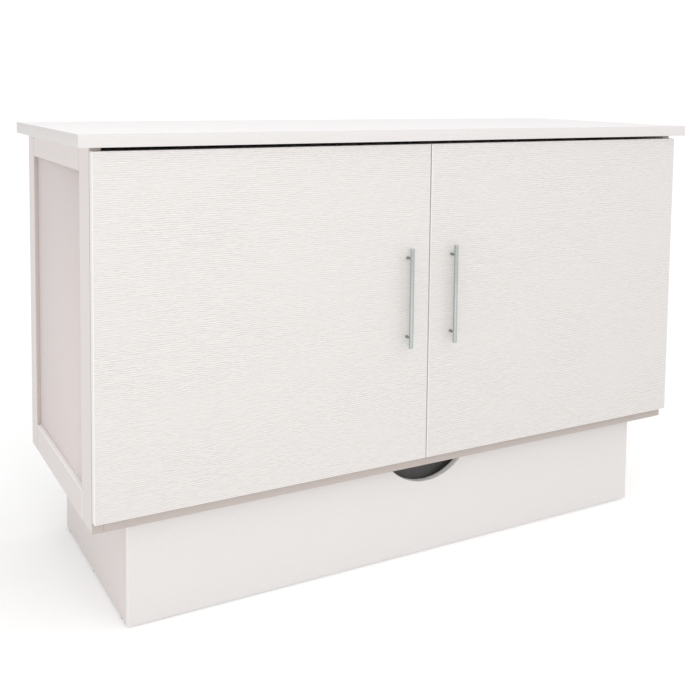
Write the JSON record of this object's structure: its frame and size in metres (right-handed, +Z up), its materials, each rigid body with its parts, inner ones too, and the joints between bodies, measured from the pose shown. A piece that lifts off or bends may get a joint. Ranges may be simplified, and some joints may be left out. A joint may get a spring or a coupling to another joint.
{
  "type": "murphy cabinet bed",
  "caption": "Low white cabinet bed: fold-out front with bar handles, accordion bed deck and mattress sections inside, folding leg, and a wheeled plinth drawer.",
  "frame": {"origin": "on the floor, under the middle of the closed object's box", "axes": "+X to the right along the width, +Y to the back, +Z up; the front faces -Y"},
  "size_m": [1.626, 0.625, 1.04],
  "materials": {
    "white_board": "warm white laminate embossed with a fine wood grain",
    "white_carcass": "the same laminate on the carcass, grain along each board",
    "drawer_board": "grey melamine inside the drawer",
    "mattress_cover": "quilted off-white knit",
    "deck_timber": "clear-finished softwood",
    "slat_timber": "plain planed slats",
    "handle_steel": "satin brushed",
    "fitting_steel": "zinc-plated",
    "leg_paint": "dark grey powder coat",
    "wheel_tread": "grey moulded tread",
    "black_rubber": "matt black"
  },
  "bodies": {
    "cabinet": {"top_panel": "white_board", "side_frame_left": "white_carcass", "side_frame_right": "white_carcass", "side_inset_left": "white_carcass", "side_inset_right": "white_carcass", "back_panel": "white_carcass", "top_stretcher": "white_carcass", "floor_board": "white_carcass", "rear_rail": "white_carcass", "base_left": "white_carcass", "base_right": "white_carcass", "base_back": "white_carcass", "base_glides": "black_rubber", "rest_pads": "black_rubber", "pivot_brackets": "fitting_steel", "pivot_pins": "fitting_steel", "catch_magnets": "black_rubber"},
    "head_section": {"head_frame": "deck_timber", "head_slats": "slat_timber", "head_mattress": "mattress_cover", "head_arms": "fitting_steel", "head_fold_plates": "fitting_steel", "fold_pins": "fitting_steel"},
    "middle_section": {"middle_frame": "deck_timber", "middle_slats": "slat_timber", "middle_mattress": "mattress_cover", "middle_fold_plates": "fitting_steel", "middle_brackets": "fitting_steel", "rise_pins": "fitting_steel"},
    "middle_leg": {"leg_frame": "leg_paint", "leg_feet": "black_rubber"},
    "foot_section": {"foot_frame": "deck_timber", "foot_slats": "slat_timber", "foot_mattress": "mattress_cover", "foot_brackets": "fitting_steel", "catch_plates": "fitting_steel", "door_left": "white_board", "door_right": "white_board", "door_spacers": "fitting_steel", "handle_bar_left": "handle_steel", "handle_bar_right": "handle_steel", "handle_posts_left": "handle_steel", "handle_posts_right": "handle_steel", "handle_screws": "handle_steel"},
    "drawer": {"drawer_front": "white_board", "drawer_side_left": "drawer_board", "drawer_side_right": "drawer_board", "drawer_back": "drawer_board", "drawer_bottom": "drawer_board", "drawer_pads": "black_rubber", "caster_housings": "fitting_steel", "caster_axles": "fitting_steel"},
    "wheel_front_left": {"wheel_front_left": "wheel_tread"},
    "wheel_front_right": {"wheel_front_right": "wheel_tread"},
    "wheel_rear_left": {"wheel_rear_left": "wheel_tread"},
    "wheel_rear_right": {"wheel_rear_right": "wheel_tread"}
  },
  "joints": [
    {"name": "bed_unfold", "type": "hinge", "parent": "cabinet", "child": "head_section", "pos_m": [0, 0.221, 0.3795], "axis": [1, 0, 0], "range_deg": [0, 90]},
    {"name": "middle_fold", "type": "hinge", "parent": "head_section", "child": "middle_section", "pos_m": [0, 0.0985, 0.997], "axis": [1, 0, 0], "range_deg": [-180, 0]},
    {"name": "foot_fold", "type": "hinge", "parent": "middle_section", "child": "foot_section", "pos_m": [0, -0.0845, 0.32], "axis": [1, 0, 0], "range_deg": [0, 180]},
    {"name": "leg_fold", "type": "hinge", "parent": "middle_section", "child": "middle_leg", "pos_m": [0, 0.0865, 0.394], "axis": [1, 0, 0], "range_deg": [-90, 0]},
    {"name": "drawer_roll", "type": "slide", "parent": "cabinet", "child": "drawer", "axis": [0, -1, 0], "range_m": [0, 1.45]},
    {"name": "roll_front_left", "type": "hinge", "parent": "drawer", "child": "wheel_front_left", "pos_m": [-0.6, -0.168, 0.02], "axis": [1, 0, 0], "continuous": true},
    {"name": "roll_front_right", "type": "hinge", "parent": "drawer", "child": "wheel_front_right", "pos_m": [0.6, -0.168, 0.02], "axis": [1, 0, 0], "continuous": true},
    {"name": "roll_rear_left", "type": "hinge", "parent": "drawer", "child": "wheel_rear_left", "pos_m": [-0.6, 0.2435, 0.02], "axis": [1, 0, 0], "continuous": true},
    {"name": "roll_rear_right", "type": "hinge", "parent": "drawer", "child": "wheel_rear_right", "pos_m": [0.6, 0.2435, 0.02], "axis": [1, 0, 0], "continuous": true}
  ],
  "couplings": [
    {"joint": "middle_fold", "follows": "bed_unfold", "ratio": -2},
    {"joint": "foot_fold", "follows": "bed_unfold", "ratio": 2},
    {"joint": "leg_fold", "follows": "bed_unfold", "ratio": -1},
    {"joint": "roll_front_left", "follows": "drawer_roll", "rad_per_m": 50},
    {"joint": "roll_front_right", "follows": "drawer_roll", "rad_per_m": 50},
    {"joint": "roll_rear_left", "follows": "drawer_roll", "rad_per_m": 50},
    {"joint": "roll_rear_right", "follows": "drawer_roll", "rad_per_m": 50}
  ]
}
